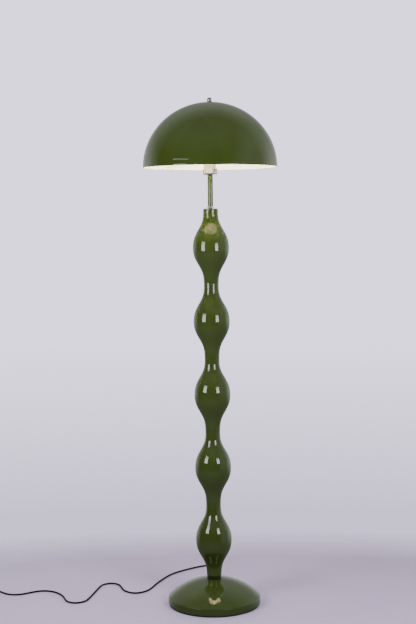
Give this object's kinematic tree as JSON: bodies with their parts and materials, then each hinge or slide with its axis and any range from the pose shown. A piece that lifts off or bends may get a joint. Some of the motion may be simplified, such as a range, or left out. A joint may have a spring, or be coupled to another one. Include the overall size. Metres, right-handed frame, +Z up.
{
  "type": "floor lamp",
  "caption": "Free-standing floor lamp with a domed round base, a column of turned gourd beads, a thin stem and a dome shade on a harp with a ball finial.",
  "frame": {"origin": "centre of the base on the floor, on the lamp's axis", "axes": "+Z up along the column, -Y towards the front, +Y towards the side where the cord leaves"},
  "size_m": [1.0663, 0.5895, 1.5302],
  "materials": {
    "green_paint": "gloss, white enamel inside the shade",
    "dark_collar": "semi gloss",
    "chrome": "polished",
    "zinc_steel": "zinc plated",
    "cast_iron": "rough cast",
    "brass": "bright",
    "cream_plastic": "satin moulded",
    "white_plastic": "matt moulded",
    "opal_diffuser": "frosted opal",
    "black_plastic": "satin moulded",
    "black_cord": "extruded sheath",
    "black_pad": "matt foam rubber"
  },
  "bodies": {
    "lamp": {"base_shell": "green_paint", "base_pad": "black_pad", "ballast_disc": "cast_iron", "base_spacer": "zinc_steel", "base_washer": "zinc_steel", "base_nut": "zinc_steel", "cord_gland": "black_plastic", "foot_collar": "dark_collar", "column_bead_1": "green_paint", "column_bead_2": "green_paint", "column_bead_3": "green_paint", "column_bead_4": "green_paint", "column_bead_5": "green_paint", "centring_bush_1": "white_plastic", "centring_bush_2": "white_plastic", "centring_bush_3": "white_plastic", "centring_bush_4": "white_plastic", "column_cap": "green_paint", "tie_tube": "zinc_steel", "column_nut": "chrome", "stem_tube": "green_paint", "stem_bush_lower": "brass", "stem_bush_upper": "brass", "stem_nipple": "zinc_steel", "stem_nut": "chrome", "holder_cap": "cream_plastic", "holder_body": "cream_plastic", "contact_block": "white_plastic", "terminal_screw_left": "brass", "terminal_screw_right": "brass", "centre_contact": "brass", "screw_shell": "brass", "harp_saddle": "zinc_steel", "harp_wire": "chrome", "inner_lead": "black_cord", "cord_run": "black_cord", "cord_tail": "black_cord", "cord_end": "black_cord", "cord_coil": "black_cord", "cord_tie": "black_plastic", "switch_base": "black_plastic", "switch_cover": "black_plastic", "switch_contacts": "white_plastic", "switch_screw_left": "zinc_steel", "switch_screw_right": "zinc_steel", "plug_body": "black_plastic", "plug_pin_left": "chrome", "plug_pin_right": "chrome"},
    "shade": {"shade": "green_paint", "swivel_stud": "chrome", "shade_washer": "chrome"},
    "finial": {"finial": "chrome"},
    "ferrule_front": {"harp_ferrule_front": "chrome"},
    "ferrule_back": {"harp_ferrule_back": "chrome"},
    "bulb": {"bulb_cap": "zinc_steel", "bulb_housing": "white_plastic", "bulb_globe": "opal_diffuser"},
    "switch_button": {"switch_button": "black_plastic"}
  },
  "joints": [
    {"name": "shade_turn", "type": "hinge", "parent": "lamp", "child": "shade", "pos_m": [0, 0, 1.5084], "axis": [0, 0, 1], "continuous": true},
    {"name": "finial_turn", "type": "hinge", "parent": "shade", "child": "finial", "pos_m": [0, 0, 1.5226], "axis": [0, 0, 1], "continuous": true},
    {"name": "ferrule_front_lift", "type": "slide", "parent": "lamp", "child": "ferrule_front", "axis": [0, 0, 1], "range_m": [0, 0.012]},
    {"name": "ferrule_back_lift", "type": "slide", "parent": "lamp", "child": "ferrule_back", "axis": [0, 0, 1], "range_m": [0, 0.012]},
    {"name": "bulb_turn", "type": "hinge", "parent": "lamp", "child": "bulb", "pos_m": [0, 0, 1.35], "axis": [0, 0, 1], "continuous": true},
    {"name": "button_press", "type": "slide", "parent": "lamp", "child": "switch_button", "axis": [0, 0, 1], "range_m": [-0.003, 0], "stiffness_N_per_m": 400, "springref_m": 0.0015}
  ]
}
